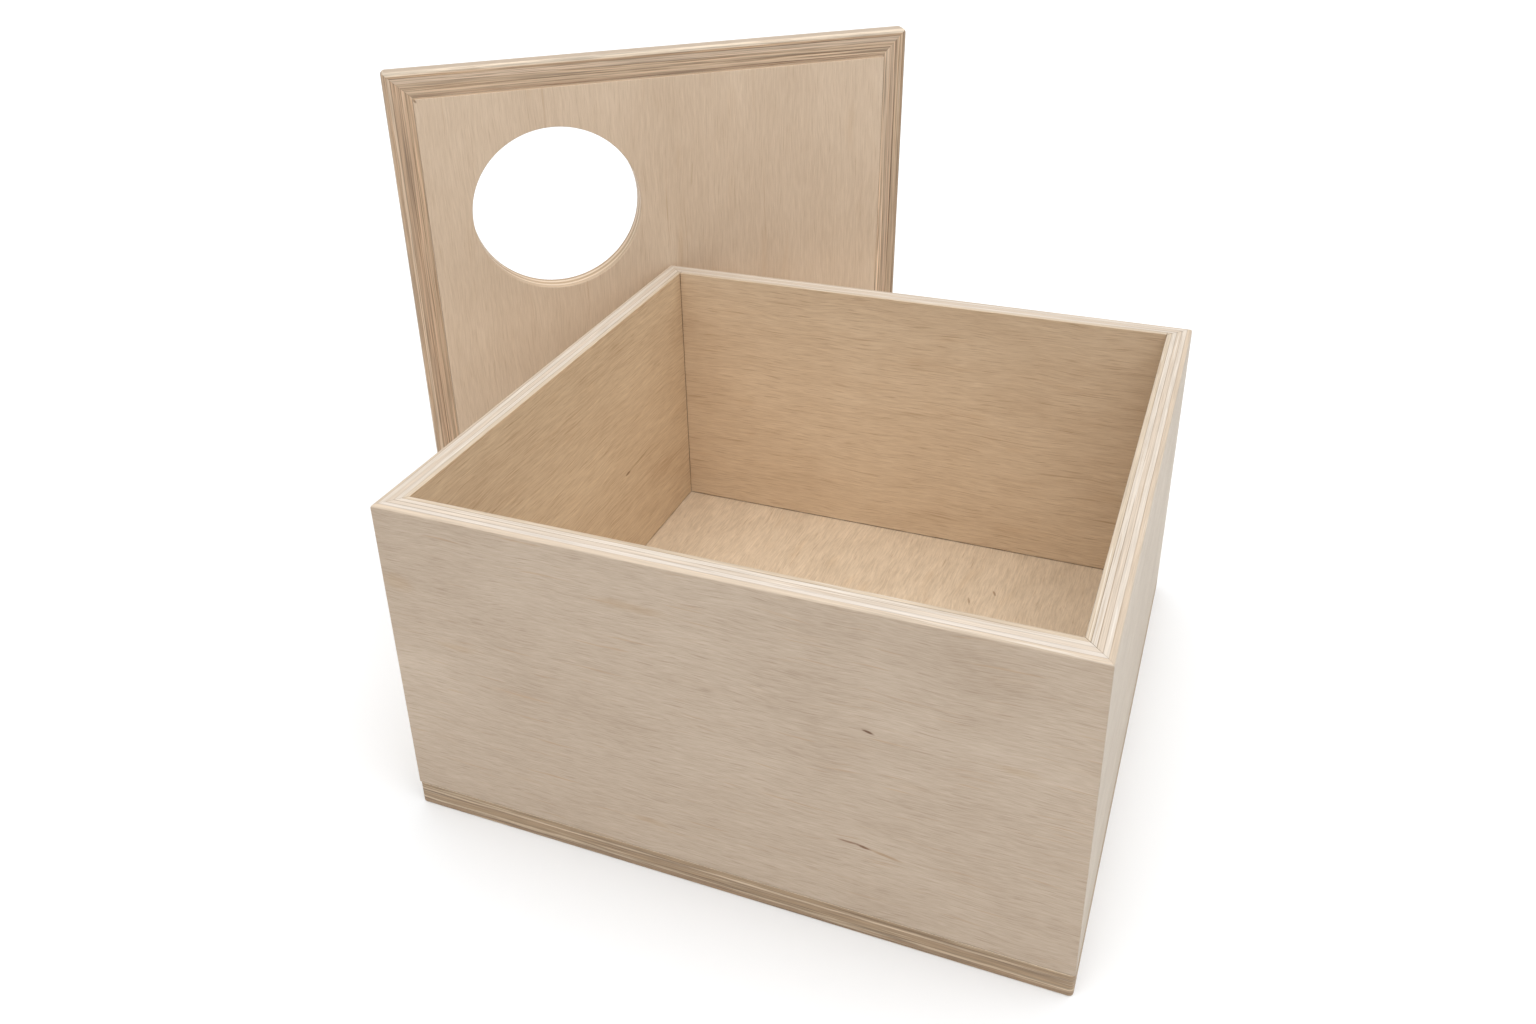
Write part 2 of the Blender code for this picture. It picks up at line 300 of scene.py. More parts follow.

# The floor inside is the brightest face, painted the warmest as painted warm bounce light
# inside the box, with the grain running front to back. The base's own edge is the darkest:
# brown plies with two thin light ones, painted darker in part as shade near the floor.
BASE_LOOK = {
    **FRONT_LOOK, "dark": "#BEA98F", "light": "#F2DEC3", "drift": 0.010,
    "tones": (("wavy", (120, 1300, 500), 3, 1.25), ("wavy", (60, 240, 90), 3, 0.35),
              ("wavy", (60, 90, 20), 2, 0.35), ("local", (16, 24, 15), 2, 0.5)),
    "stains": (((24, 110, 90), 0.60, 0.80, "#D2B28A", 0.25),
               ((110, 1200, 300), 0.62, 0.74, "#B3906A", 0.40),
               ((40, 500, 90), 0.68, 0.78, "#A98560", 0.40)),
    "plies": ("#977E64", "#B9A48A", "#9C8469", "#BFA98F", "#9C8468"),
    "glue": "#6A543E", "glue_half": 0.00034, "glue_shares": (0.6, 0.6, 0.6, 0.8),
    "wander": (55, 55, 190), "ply_waver": 0.0012, "ray_share": 0.32,
    "edge_stains": (((15, 15, 1100), 0.55, 0.66, "#67503B", 0.60),
                    ((16, 16, 800), 0.56, 0.68, "#D6C3A9", 0.50)),
}

# The lid's strips show mostly ply edges: streaky tan and brown lines, run along the strip.
RIM_LOOK = {
    **FRONT_LOOK, "dark": "#A8947E", "light": "#CEBDAA",
    "glue": "#60401F", "glue_half": 0.00040, "glue_least": 0.25,
    "wander": (34, 34, 90), "ply_waver": 0.0006, "edge_rays": (16, 16, 1150),
    "ray_share": 0.46,
    "edge_stains": (((16, 16, 1250), 0.58, 0.67, "#7B5937", 0.60),
                    ((18, 18, 800), 0.60, 0.72, "#DCC8B0", 0.35)),
}
# The strips are ripped from different sheets, so each has its own plies: the depths of its
# glue lines, how dark each is, and the colour of each ply. The outermost plies of the top and
# right strips also carry painted light and shade, noted below.
STRIPS = {
    "bottom": ((0.0024, 0.0037, 0.0069, 0.0101, 0.0134), (0.0, 0.8, 0.7, 0.9, 0.7),
               ("#D5C2AB", "#BFA284", "#CCB59E", "#BFA78D", "#C3AB91", "#B9A087")),
    # The right strip's outermost ply is painted dark: painted shade over the highlight that
    # its rounded outer edge catches from the right lamps.
    "right": ((0.0022, 0.0061, 0.0104, 0.0138), (0.90, 1.0, 0.2, 1.0),
              ("#A89178", "#C1A88D", "#BFA68D", "#D4BCA2", "#B3997F")),
    # The top strip's outermost ply is painted pale: a painted highlight on the rounded edge
    # that faces up.
    "top": ((0.0024, 0.0037, 0.0069, 0.0101, 0.0134), (0.0, 0.8, 0.7, 0.9, 0.7),
            ("#E1D0BA", "#BFA284", "#C8B29B", "#BFA78D", "#C3AB91", "#B9A087")),
    "left": ((0.0026, 0.0044, 0.0084, 0.0117), (0.2, 0.5, 0.95, 0.8),
             ("#BDA287", "#CEB79E", "#BCA085", "#C5A98D", "#CAAF92")),
}

# The lid's panel: fine upright grain, even in tone, with the plies only in the hole.
PANEL_LOOK = {
    **FRONT_LOOK, "dark": "#C0A88E", "light": "#E2CDB5",
    "tones": (("wavy", (90, 2300, 500), 3, 1.25), ("wavy", (8, 330, 90), 3, 0.20),
              ("wavy", (8, 60, 20), 2, 0.25), ("local", (10, 25, 15), 2, 0.45)),
    "stains": (((14, 110, 90), 0.60, 0.80, "#C6A57F", 0.25),
               ((45, 1400, 300), 0.60, 0.74, "#A88964", 0.35),
               ((7, 520, 90), 0.66, 0.76, "#B48F68", 0.35)),
    "plies": ("#B5987A", "#E0CBB2", "#BB9F81", "#DCC6AC", "#C4AA8E"), "glue": "#6F5439",
}

# Marks in the veneers, and lines of painted shade in the joints: a middle in the board's
# axes, the reach each way, a turn, a colour and a strength. The front has a pin knot, a short
# split with a tan tail, and smudges.
FRONT_MARKS = (
    ((0.0671, -0.0268, 0), (0.0034, 0.0008, 0.004), 0.25, "#664226", 0.95),
    ((0.0600, 0.0328, 0), (0.0070, 0.0008, 0.004), 0.04, "#7D5B3E", 0.80),
    ((0.0662, 0.0334, 0), (0.0045, 0.0009, 0.004), 0.20, "#6F4828", 0.90),
    ((0.0755, 0.0348, 0), (0.0105, 0.0010, 0.004), 0.16, "#9C7B54", 0.60),
    ((-0.0330, -0.0605, 0), (0.0230, 0.0030, 0.004), 0.02, "#AE9270", 0.35),
    ((-0.1465, -0.0455, 0), (0.0110, 0.0060, 0.004), 0.10, "#AE9270", 0.32),
    ((-0.0315, 0.0530, 0), (0.0140, 0.0022, 0.004), 0.03, "#AE9270", 0.35),
    ((0.1248, -0.0255, 0), (0.0120, 0.0022, 0.004), 0.03, "#AE9270", 0.32),
    ((-0.1215, -0.0170, 0), (0.0130, 0.0022, 0.004), 0.05, "#AE9270", 0.32),
)
# The back's three lines, and the left's first, are thin dark lines in the inner corners and
# along the floor: painted shade in the joints.
BACK_JOINT_SHADE = (
    ((BOX_HALF.x - WALL, 0, 0.012), (0.0005, 0.200, 0.004), 0, "#6F4F33", 0.60),
    ((WALL - BOX_HALF.x, 0, 0.012), (0.0005, 0.200, 0.004), 0, "#6F4F33", 0.60),
    ((0, BASE - HEIGHT / 2, 0.012), (0.400, 0.0010, 0.004), 0, "#64452B", 0.85),
)
# The left wall: a line of painted shade along the floor, then a small dark mark with a paler
# tail.
LEFT_MARKS_AND_SHADE = (
    ((0, BASE - HEIGHT / 2, 0.012), (0.400, 0.0010, 0.004), 0, "#64452B", 0.85),
    ((0.0545, -0.0114, 0.012), (0.0040, 0.0009, 0.004), 0.07, "#75522F", 0.85),
    ((0.0710, -0.0100, 0.012), (0.0190, 0.0009, 0.004), 0.07, "#93704A", 0.50),
)
BASE_MARKS = (
    ((0.093, -0.069, 0.012), (0.0035, 0.0009, 0.004), 0.5, "#8A6540", 0.65),
    ((0.081, -0.057, 0.012), (0.0045, 0.0009, 0.004), 0.3, "#8A6540", 0.55),
)


# ---- making meshes -----------------------------------------------------------------------
def block(low, high):
    """A plain block, which serves only as a cutter."""
    low, high = Vector(low), Vector(high)
    mesh = bmesh.new()
    place = Matrix.Translation((low + high) / 2) @ Matrix.Diagonal((*(high - low), 1.0))
    bmesh.ops.create_cube(mesh, size=1.0, matrix=place)
    return mesh


def rounded_block(low, high, corner, foot=ARRIS):
    """A block with sanded edges: round to the arris at the top, and to foot and corner.

    It is drawn as level rounded rectangles, closed at the foot and at the top.
    """
    low, high = Vector(low), Vector(high)
    turns = [math.pi / 2 * step / ARRIS_SEGMENTS for step in range(ARRIS_SEGMENTS + 1)]
    profile = [(foot * (1 - math.sin(turn)), low.z + foot * (1 - math.cos(turn)))
               for turn in turns]
    profile += [(ARRIS * (1 - math.sin(turn)), high.z - ARRIS * (1 - math.cos(turn)))
                for turn in reversed(turns)]
    loops = []
    for inset, height in profile:
        radius = max(corner - inset, LEAST_RADIUS)
        reach = Vector((inset + radius, inset + radius, 0))
        near, far = low + reach, high - reach
        loops.append([Vector((x + radius * math.cos(quarter + turn),
                              y + radius * math.sin(quarter + turn), height))
                      for x, y, quarter in ((far.x, far.y, 0), (near.x, far.y, math.pi / 2),
                                            (near.x, near.y, math.pi),
                                            (far.x, near.y, math.pi * 1.5))
                      for turn in turns])
    mesh = bmesh.new()
    for ring in skin(mesh, loops):
        bmesh.ops.contextual_create(mesh, geom=ring)
    return mesh


def skin(mesh, loops):
    """Faces between each loop and the next. Returns the first and last loop's edges."""
    rings = [[mesh.verts.new(point) for point in loop] for loop in loops]
    for ring, above in zip(rings, rings[1:]):
        for number in range(len(ring)):
            after = (number + 1) % len(ring)
            mesh.faces.new((ring[number], ring[after], above[after], above[number]))
    ends = []
    for ring in (rings[0], rings[-1]):
        ends.append([mesh.edges.get((ring[number - 1], ring[number]))
                     for number in range(len(ring))])
    return ends


def slice_off(mesh, point, normal):
    """Cuts away everything beyond a plane, and closes the cut."""
    geometry = mesh.verts[:] + mesh.edges[:] + mesh.faces[:]
    cut = bmesh.ops.bisect_plane(mesh, geom=geometry, plane_co=point, plane_no=normal,
                                 clear_outer=True)
    edges = [item for item in cut["geom_cut"] if isinstance(item, bmesh.types.BMEdge)]
    bmesh.ops.contextual_create(mesh, geom=edges)


def break_edges(mesh, size, chosen):
    """Rounds the edges whose two ends are both chosen."""
    edges = [e for e in mesh.edges if all(chosen(v.co) for v in e.verts)]
    bmesh.ops.bevel(mesh, geom=edges, offset=size, segments=FINE_SEGMENTS, profile=0.5,
                    affect="EDGES")


def glue_groove(mesh, point, normal, sunk):
    """Scores the hollow of one glue line. sunk gives the way in for a point, or None."""
    point, normal = Vector(point), Vector(normal)
    for offset in (-GLUE_GROOVE_HALF, 0.0, GLUE_GROOVE_HALF):
        geometry = mesh.verts[:] + mesh.edges[:] + mesh.faces[:]
        bmesh.ops.bisect_plane(mesh, geom=geometry, plane_co=point + normal * offset,
                               plane_no=normal)
    mesh.normal_update()
    on_line = [v for v in mesh.verts if abs((v.co - point).dot(normal)) < TOUCH]
    for vertex, way in [(v, sunk(v)) for v in on_line]:
        if way is not None:
            vertex.co += way * GLUE_GROOVE_DEPTH


def make_object(name, mesh, material=None):
    """Turns a bmesh into an object, smooth but for its sharp edges."""
    data = bpy.data.meshes.new(name)
    bmesh.ops.recalc_face_normals(mesh, faces=mesh.faces[:])
    mesh.to_mesh(data)
    mesh.free()
    data.shade_smooth()
    data.set_sharp_from_angle(angle=SHARP_ANGLE)
    if material:
        data.materials.append(material)
    item = bpy.data.objects.new(name, data)
    bpy.context.scene.collection.objects.link(item)
    return item


def settled(item):
    """Turns an object's modifiers into a plain mesh, with its flat faces shaded flat."""
    flat = item.modifiers.new("flat_faces", "WEIGHTED_NORMAL")
    flat.mode = "FACE_AREA"
    flat.weight = 100
    flat.keep_sharp = True
    graph = bpy.context.evaluated_depsgraph_get()
    data = bpy.data.meshes.new_from_object(item.evaluated_get(graph))
    item.modifiers.clear()
    item.data = data
    return item


def cut_out(item, cutters):
    """Cuts the other shapes out of a piece."""
    for cutter in cutters:
        modifier = item.modifiers.new("cut", "BOOLEAN")
        modifier.object = cutter
        modifier.operation = "DIFFERENCE"
        modifier.solver = "EXACT"
    settled(item)


def put(item, body, slot, *nodes):
    """Hands a finished piece to the frame."""
    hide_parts(*nodes)
    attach(item, body)


def hidden_room(name):
    """A cutter a little larger than one hidden CAD piece."""
    mesh = bmesh.new()
    mesh.from_mesh(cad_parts[name].data)
    bmesh.ops.remove_doubles(mesh, verts=mesh.verts[:], dist=WELD)
    low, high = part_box(name)
    middle = (low + high) / 2
    growth = Vector((HIDDEN_ROOM, HIDDEN_ROOM, 1 + HIDDEN_END_ROOM / (high.z - low.z)))
    for vertex in mesh.verts:
        vertex.co = middle + (vertex.co - middle) * growth
    return make_object("room_" + name, mesh)


# ---- the box -----------------------------------------------------------------------------
OUT = {"front": Vector((0, -1, 0)), "right": Vector((1, 0, 0)),
       "back": Vector((0, 1, 0)), "left": Vector((-1, 0, 0))}


def outline(way, half, middle=Vector()):
    """The point of a plan's outline that lies this way from its middle."""
    return middle + Vector((way.x * half.x, way.y * half.y, 0))


def along_board(out):
    """A board's grain runs along X, or along Y where it faces left or right."""
    return (1, 0, 0) if out.x == 0 else (0, 1, 0)


def cut_mitres(mesh, out, half, middle=Vector(), opens=0.0):
    """Cuts both ends of a board at 45 degrees, opening by this angle towards the inside."""
    for beside in (Vector((out.y, -out.x, 0)), Vector((-out.y, out.x, 0))):
        normal = (beside - out).normalized()
        inward = -(beside + out).normalized()
        slice_off(mesh, outline(out + beside, half, middle) - normal * JOINT_GAP / 2,
                  (normal + inward * math.tan(opens)).normalized())


def make_wall(side, look, seed, marks_and_shade=()):
    """One mitred wall, its upper edge scored along the glue lines."""
    out, face = OUT[side], outline(OUT[side], BOX_HALF)
    foot = BASE + FOOT_GAP
    mesh = rounded_block(-BOX_HALF, BOX_HALF + UP * HEIGHT, BOX_CORNER)
    slice_off(mesh, face - out * WALL, -out)
    cut_mitres(mesh, out, BOX_HALF, opens=MITRE_OPENS)
    slice_off(mesh, (0, 0, foot), DOWN)

    def depth(co):
        return (face - co).dot(out)

    def inner_top(co):
        return abs(depth(co) - WALL) < TOUCH and co.z > HEIGHT - TOUCH

    def foot_edge(co):
        outer = abs(depth(co)) < ARRIS + TOUCH
        return co.z < foot + TOUCH and (outer or abs(depth(co) - WALL) < TOUCH)

    def sunk(vertex):
        return DOWN if vertex.co.z > HEIGHT - TOUCH else None

    break_edges(mesh, FINE_ARRIS, inner_top)
    break_edges(mesh, JOINT_ARRIS, foot_edge)
    for line in evenly(WALL):
        glue_groove(mesh, face - out * line, out, sunk)
    board = board_frame(face + UP * HEIGHT / 2, along_board(out), -out)
    material = plywood(f"plywood_{side}_wall", board, WALL, evenly(WALL), look, seed, marks_and_shade)
    wall = make_object(f"{side}_wall_board", mesh, material)
    cut_out(wall, [rooms[name] for name in rooms if side in name])
    put(wall, "box", "plywood", f"{side}_wall")


def make_base():
    """The base sheet, scored all round its edge along the glue lines."""
    mesh = rounded_block(-BOX_HALF, BOX_HALF + UP * HEIGHT, BASE_CORNER, BASE_FOOT)
    slice_off(mesh, (0, 0, BASE), UP)
    break_edges(mesh, JOINT_ARRIS, lambda co: co.z > BASE - TOUCH)
    for line in BASE_LINES:
        glue_groove(mesh, (0, 0, line), UP,
                    lambda vertex: -Vector((vertex.normal.x, vertex.normal.y, 0)))
    board = board_frame((0, 0, 0), (0, 1, 0), UP)
    material = plywood("plywood_base", board, BASE, BASE_LINES, BASE_LOOK, 5.0,
                       BASE_MARKS)
    base = make_object("base_board", mesh, material)
    cut_out(base, [rooms[name] for name in rooms if name.startswith("dowel")])
    put(base, "box", "plywood", "base_panel")


# ---- the lid -----------------------------------------------------------------------------
def find_lid():
    """The lid's own axes and size: X along its lower edge, Y up, Z out of its underside."""
    turn = Euler((math.pi / 2 + LID_LEAN, 0, LID_TURN)).to_matrix()
    points = [turn.transposed() @ vertex.co for name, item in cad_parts.items()
              if name.startswith("lid_") for vertex in item.data.vertices]
    low = Vector([min(p[axis] for p in points) for axis in range(3)])
    high = Vector([max(p[axis] for p in points) for axis in range(3)])
    strip = [turn.transposed() @ v.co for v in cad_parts["lid_strip_top"].data.vertices]
    rim = max(p.z for p in strip) - low.z
    origin = turn @ Vector(((low.x + high.x) / 2, low.y, low.z))
    origin += turn @ Vector((0, LID_SHY, LID_SHY))
    size = high - low - Vector((2, 2, 1)) * LID_SHY
    return Matrix.Translation(origin) @ turn.to_4x4(), size, rim - LID_SHY


LID_FRAME, LID_SIZE, RIM_DEPTH = find_lid()
LID_HALF = LID_SIZE.x / 2
LID_LENGTH = LID_SIZE.y
LID_DEPTH = LID_SIZE.z
LID_MIDDLE = Vector((0, LID_LENGTH / 2, 0))


def rectangle(inset, height):
    """One loop round the lid's panel, inset from the strips' inner edges."""
    side, end = LID_HALF - LID_STRIP - inset, LID_STRIP + inset
    return [Vector((x, y, height)) for x, y in
            ((-side, end), (side, end), (side, LID_LENGTH - end), (-side, LID_LENGTH - end))]


def circle(radius, height):
    """One loop round the lid's hole."""
    middle = Vector((HOLE_FROM_SIDE - LID_HALF, LID_LENGTH - HOLE_FROM_TOP, height))
    turns = [math.tau * number / HOLE_SIDES for number in range(HOLE_SIDES)]
    return [middle + Vector((math.cos(t), math.sin(t), 0)) * radius for t in turns]


PANEL_MARKS = (
    ((LID_LENGTH / 2 - LID_STRIP - 0.001, LID_HALF - LID_STRIP - 0.001, LID_DEPTH),
     (0.0018, 0.0008, 0.004), 0.6, "#7A5C42", 0.75),
)


def make_panel():
    """The raised panel: a tongue round its edge, and a hole with its edges eased."""
    middle = RIM_DEPTH / 2
    eased = [math.pi / 2 * step / EASE_SEGMENTS for step in range(EASE_SEGMENTS + 1)]
    outer = [(FINE_ARRIS + JOINT_GAP, 0), (JOINT_GAP, FINE_ARRIS),
             (JOINT_GAP, middle - PANEL_TONGUE_HALF),
             (-PANEL_TONGUE, middle - PANEL_TONGUE_HALF),
             (-PANEL_TONGUE, middle + PANEL_TONGUE_HALF),
             (JOINT_GAP, middle + PANEL_TONGUE_HALF)]
    outer += [(JOINT_GAP + FINE_ARRIS * (1 - math.cos(a)),
               LID_DEPTH - FINE_ARRIS * (1 - math.sin(a))) for a in eased]
    inner = [(HOLE_RADIUS + HOLE_ARRIS * (1 - math.sin(a)), HOLE_ARRIS * (1 - math.cos(a)))
             for a in eased]
    for line in evenly(LID_DEPTH):
        inner += [(HOLE_RADIUS, line - GLUE_GROOVE_HALF),
                  (HOLE_RADIUS + GLUE_GROOVE_DEPTH, line),
                  (HOLE_RADIUS, line + GLUE_GROOVE_HALF)]
    inner += [(HOLE_RADIUS + HOLE_ARRIS * (1 - math.cos(a)),
               LID_DEPTH - HOLE_ARRIS * (1 - math.sin(a))) for a in eased]
    mesh = bmesh.new()
    outer_ends = skin(mesh, [rectangle(inset, height) for inset, height in outer])
    inner_ends = skin(mesh, [circle(radius, height) for radius, height in inner])
    for around, hole in zip(outer_ends, inner_ends):
        bmesh.ops.triangle_fill(mesh, use_beauty=True, edges=around + hole)
    mesh.transform(LID_FRAME)
    board = LID_FRAME @ board_frame(LID_MIDDLE, (0, 1, 0), UP)
    material = plywood("plywood_lid_panel", board, LID_DEPTH, evenly(LID_DEPTH),
                       PANEL_LOOK, 6.0, PANEL_MARKS)
    panel = settled(make_object("lid_panel_board", mesh, material))
    put(panel, "lid", "plywood", "lid_panel")


# In the lid's own plan its sides face the same four ways as the box's.
LID_OUT = dict(zip(("bottom", "right", "top", "left"), OUT.values()))


def make_strip(side, seed):
    """One mitred strip of the lid's rim, grooved for the panel's tongue."""
    out = LID_OUT[side]
    half = Vector((LID_HALF, LID_LENGTH / 2, 0))
    face = outline(out, half, LID_MIDDLE)
    mesh = rounded_block((-LID_HALF, 0, 0), (LID_HALF, LID_LENGTH, RIM_DEPTH), LID_CORNER)
    slice_off(mesh, face - out * LID_STRIP, -out)
    cut_mitres(mesh, out, half, LID_MIDDLE)

    def sunk(vertex):
        if vertex.co.z > RIM_DEPTH - TOUCH:
            return DOWN
        return UP if vertex.co.z < TOUCH else None

    lines, shares, colours = STRIPS[side]
    look = {**RIM_LOOK, "glue_shares": shares, "plies": colours}
    for line in lines:
        glue_groove(mesh, face - out * line, out, sunk)
    mesh.transform(LID_FRAME)
    board = LID_FRAME @ board_frame(face, along_board(out), -out)
    material = plywood(f"plywood_lid_strip_{side}", board, LID_STRIP, lines, look, seed)
    strip = make_object(f"lid_strip_{side}_board", mesh, material)
    cut_out(strip, [lid_groove])
    put(strip, "lid", "plywood_edge", f"lid_strip_{side}")


def make_groove():
    """The cutter for the groove that the panel's tongue sits in."""
    middle, room = RIM_DEPTH / 2, PANEL_TONGUE_HALF + GROOVE_ROOM
    low = rectangle(-PANEL_TONGUE - GROOVE_ROOM, middle - room)
    high = rectangle(-PANEL_TONGUE - GROOVE_ROOM, middle + room)
    mesh = block(low[0], high[2])
    mesh.transform(LID_FRAME)
    return make_object("groove_form", mesh)


# ---- hidden joinery ----------------------------------------------------------------------
DOWEL_SIZES = (("Radius", "NodeSocketFloat", 0.00295),
               ("Length", "NodeSocketFloat", 0.0176),
               ("Flute Depth", "NodeSocketFloat", 0.00022),
               ("Taper", "NodeSocketFloat", 0.0007),
               ("Flutes", "NodeSocketInt", 10))
FLUTE_SEGMENTS = 6          # corners round the rod for each flute
DOWEL_RINGS = 18
DOWEL_SHY = 0.0002          # how much shorter than its CAD solid a dowel is
DOWEL_SHARP = math.radians(40)
FLECK_SCALE = (1600, 1600, 260)    # ray flecks 0.6 mm wide and 4 mm long


# Turned beech with pressed flutes: pinkish tan with short darker ray flecks.
def beech():
    material, add = empty_material("beech_bare")
    laid = add("ShaderNodeMapping", Vector=add("ShaderNodeTexCoord").outputs["Object"],
               Scale=FLECK_SCALE)
    fleck = add("ShaderNodeTexNoise", Vector=laid, Scale=1.0, Detail=2.0)
    amount = add(MAP, SOFT, in_0=fleck, in_1=0.5, in_2=0.7, in_4=0.6)
    colour = add(MIX, BLEND, in_0=amount, in_6=linear("#CFAE88"), in_7=linear("#A97F57"))
    shader = add("ShaderNodeBsdfPrincipled", Base_Color=colour, Roughness=0.6,
                 IOR=WOOD_IOR)
    add("ShaderNodeOutputMaterial", Surface=shader)
    return material


def fluted_dowels(material):
    """Geometry Nodes: a fluted dowel with tapered ends on every point of the host mesh."""
    tree = bpy.data.node_groups.new("fluted_dowels", "GeometryNodeTree")
    tree.interface.new_socket("Geometry", in_out="INPUT", socket_type="NodeSocketGeometry")
    inputs = {}
    for name, kind, value in DOWEL_SIZES:
        inputs[name] = tree.interface.new_socket(name, in_out="INPUT", socket_type=kind)
        inputs[name].default_value = value
    tree.interface.new_socket("Geometry", in_out="OUTPUT", socket_type="NodeSocketGeometry")
    add = partial(node, tree)
    given = add("NodeGroupInput").outputs

    corners = add(MATH, TIMES, in_0=given["Flutes"], in_1=FLUTE_SEGMENTS)
    rod = add("GeometryNodeMeshCylinder", Vertices=corners, Side_Segments=DOWEL_RINGS,
              Radius=given["Radius"], Depth=given["Length"])
    at = add("ShaderNodeSeparateXYZ", Vector=add("GeometryNodeInputPosition")).outputs

    # Each flute is the upper half of a cosine round the rod, as a share of its radius.
    angle = add(MATH, {"operation": "ARCTAN2"}, in_0=at["Y"], in_1=at["X"])
    wave = add(MATH, {"operation": "COSINE"},
               in_0=add(MATH, TIMES, in_0=angle, in_1=given["Flutes"]))
    flute = add(MATH, TIMES, in_0=add(MATH, MOST, in_0=wave, in_1=0.0),
                in_1=add(MATH, OVER, in_0=given["Flute Depth"], in_1=given["Radius"]))

    # The two end rings are drawn in by the taper, which is deeper than the flutes.
    at_end = add(MATH, {"operation": "COMPARE"}, in_2=WELD,
                 in_0=add(MATH, {"operation": "ABSOLUTE"}, in_0=at["Z"]),
                 in_1=add(MATH, TIMES, in_0=given["Length"], in_1=0.5))
    taper = add(MATH, TIMES, in_0=at_end,
                in_1=add(MATH, OVER, in_0=given["Taper"], in_1=given["Radius"]))
    share = add(MATH, {"operation": "SUBTRACT"}, in_0=1.0,
                in_1=add(MATH, MOST, in_0=flute, in_1=taper))
    moved = add("ShaderNodeCombineXYZ", X=add(MATH, TIMES, in_0=at["X"], in_1=share),
                Y=add(MATH, TIMES, in_0=at["Y"], in_1=share), Z=at["Z"])

    shaped = add("GeometryNodeSetPosition", Geometry=rod, Position=moved)
    placed = add("GeometryNodeInstanceOnPoints", Points=given["Geometry"], Instance=shaped)
    real = add("GeometryNodeRealizeInstances", Geometry=placed)
    wood = add("GeometryNodeSetMaterial", Geometry=real, Material=material)
    add("NodeGroupOutput", Geometry=wood)
    return tree, inputs


def make_dowels(names, material):
    """All the dowels as one mesh, each standing where its CAD solid does."""
    host = bmesh.new()
    for name in names:
        low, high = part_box(name)
        host.verts.new((low + high) / 2)
    data = bpy.data.meshes.new("dowel_points")
    host.to_mesh(data)
    host.free()
    dowels = bpy.data.objects.new("fluted_dowels", data)
    bpy.context.scene.collection.objects.link(dowels)
    tree, inputs = fluted_dowels(material)
    modifier = dowels.modifiers.new("dowels", "NODES")
    modifier.node_group = tree
    low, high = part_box(names[0])
    modifier[inputs["Length"].identifier] = high.z - low.z - DOWEL_SHY
    settled(dowels)
    dowels.data.shade_smooth()
    dowels.data.set_sharp_from_angle(angle=DOWEL_SHARP)
    put(dowels, "box", "beech", *names)


# ---- build it ----------------------------------------------------------------------------
hidden = [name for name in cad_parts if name.startswith(("corner_tongue", "dowel"))]
rooms = {name: hidden_room(name) for name in hidden}
make_wall("front", FRONT_LOOK, 1.0, FRONT_MARKS)
make_wall("right", RIGHT_LOOK, 2.0)
make_wall("back", BACK_LOOK, 3.0, BACK_JOINT_SHADE)
make_wall("left", LEFT_LOOK, 4.0, LEFT_MARKS_AND_SHADE)
make_base()
lid_groove = make_groove()
make_panel()
for number, strip_side in enumerate(LID_OUT):
    make_strip(strip_side, 7.0 + number)
beech_material = beech()
make_dowels([name for name in hidden if name.startswith("dowel")], beech_material)
for name in hidden:
    if name.startswith("corner_tongue"):
        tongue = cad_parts[name]
        tongue.data.materials.clear()
        tongue.data.materials.append(beech_material)
for form in (*rooms.values(), lid_groove):
    bpy.data.objects.remove(form)

# ---- floor, light and camera -------------------------------------------------------------
FLOOR_HALF = 8.0
FLOOR_SINK = 0.0002         # just under the box, so that the two share no face

# Large diffusers, far away: where each stands from the box, how wide it looks in degrees,
# and the light it gives, as the share of what makes a white sheet facing it white.
LAMPS = {
    "ceiling_diffuser": ((0, 0, 1), 150, 0.683),
    "overhead_softbox": ((0, 0, 1), 60, 0.251),
    "front_softbox": ((0, -1, 1), 60, 0.149),
    "right_softbox": ((1, 0, 0.9), 60, 0.130),
    "right_diffuser": ((1, 0, 1), 150, 0.235),
}

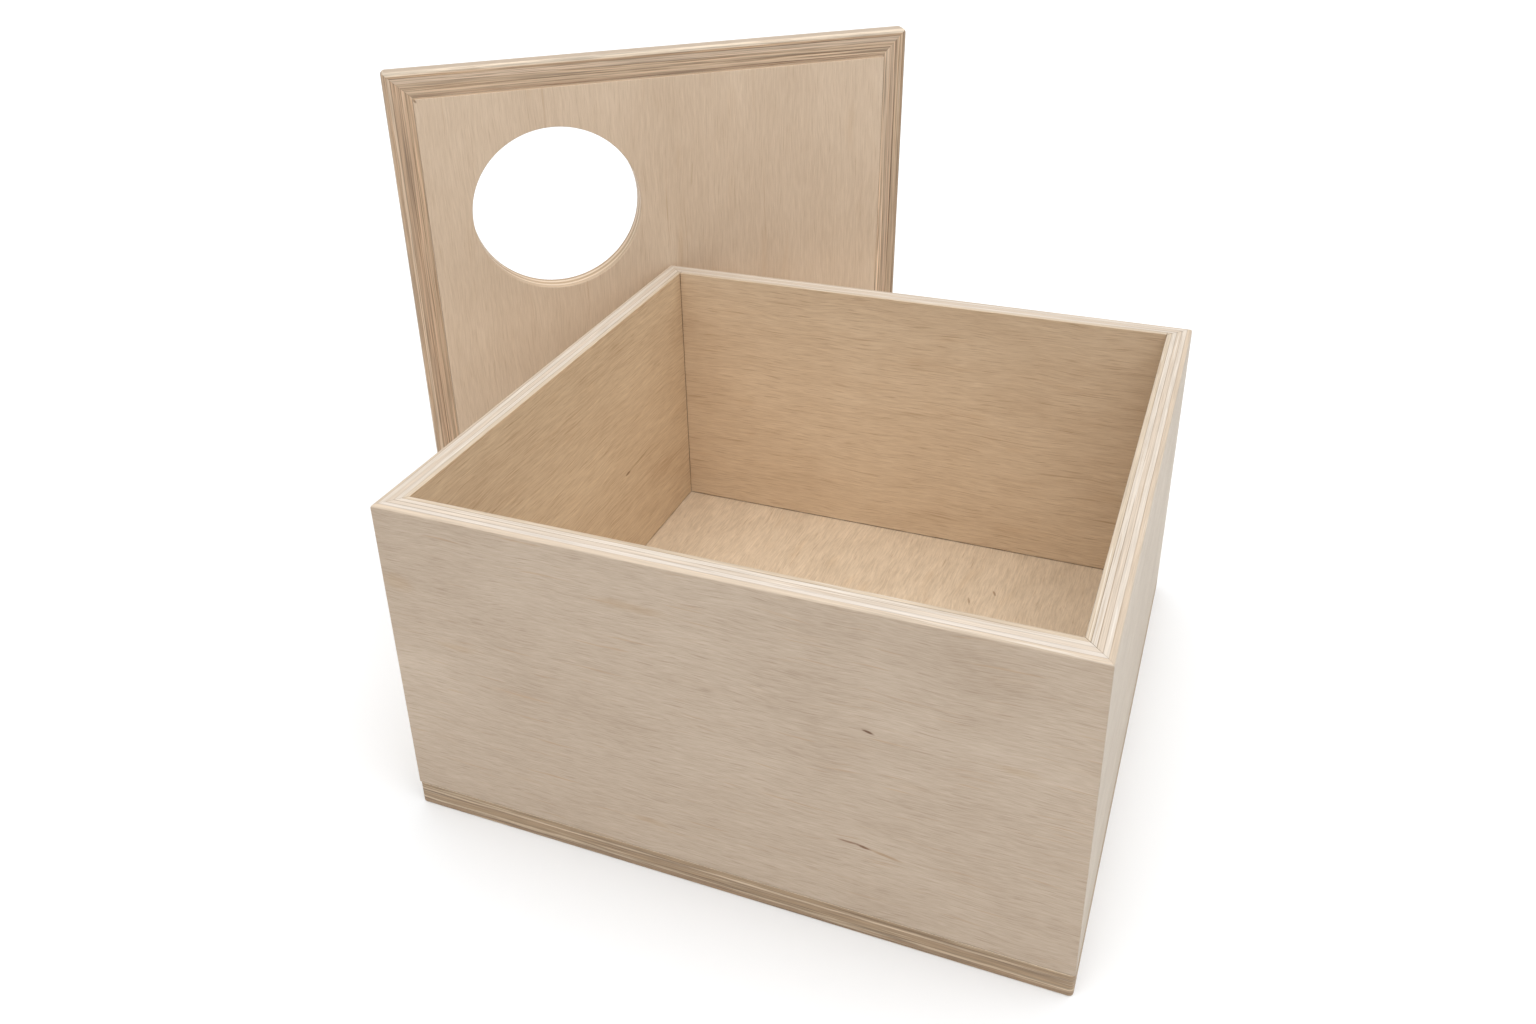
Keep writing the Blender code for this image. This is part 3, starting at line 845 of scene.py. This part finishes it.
CAMERA_PLACE = (0.17542, -0.51821, 0.44730)
CAMERA_RIGHT = Vector((0.92810, 0.37159, -0.02355))
CAMERA_DOWN = Vector((0.14597, -0.42131, -0.89509))
CAMERA_FORWARD = Vector((-0.34253, 0.82730, -0.44526))
CAMERA_SENSOR = 36.0
CAMERA_LENS = 30.06
CAMERA_SHIFT = (0.0099, -0.0792)


# A matt paper sweep, a cool white: it shows only the soft shadow that the box leaves on it.
def make_floor():
    mesh = bmesh.new()
    bmesh.ops.create_grid(mesh, x_segments=2, y_segments=2, size=FLOOR_HALF)
    paper, add = empty_material("white_paper_sweep")
    shader = add("ShaderNodeBsdfPrincipled", Base_Color=linear("#F6F8FA"), Roughness=0.9)
    add("ShaderNodeOutputMaterial", Surface=shader)
    floor = make_object("studio_floor", mesh, paper)
    floor.location.z = -FLOOR_SINK


def make_light():
    """The room behind is seen white, and the light on the box comes from the lamps."""
    world = bpy.data.worlds.new("studio")
    world.use_nodes = True
    world.node_tree.nodes.clear()
    add = partial(node, world.node_tree)
    seen = add("ShaderNodeLightPath").outputs["Is Camera Ray"]
    room = add("ShaderNodeBackground", Color=(1, 1, 1, 1), Strength=seen)
    add("ShaderNodeOutputWorld", Surface=room)
    bpy.context.scene.world = world
    for name, (place, width, share) in LAMPS.items():
        lamp = bpy.data.lights.new(name, "SUN")
        lamp.angle = math.radians(width)
        lamp.energy = share * math.pi
        item = bpy.data.objects.new(name, lamp)
        item.rotation_euler = (-Vector(place)).to_track_quat("-Z", "Y").to_euler()
        bpy.context.scene.collection.objects.link(item)


def make_camera():
    data = bpy.data.cameras.new("camera")
    data.sensor_width = CAMERA_SENSOR
    data.lens = CAMERA_LENS
    data.shift_x, data.shift_y = CAMERA_SHIFT
    camera = bpy.data.objects.new("camera", data)
    axes = Matrix((CAMERA_RIGHT, -CAMERA_DOWN, -CAMERA_FORWARD)).transposed()
    camera.matrix_world = Matrix.Translation(CAMERA_PLACE) @ axes.to_4x4()
    bpy.context.scene.collection.objects.link(camera)
    bpy.context.scene.camera = camera


make_floor()
make_light()
make_camera()
bpy.context.scene.view_settings.view_transform = "Standard"
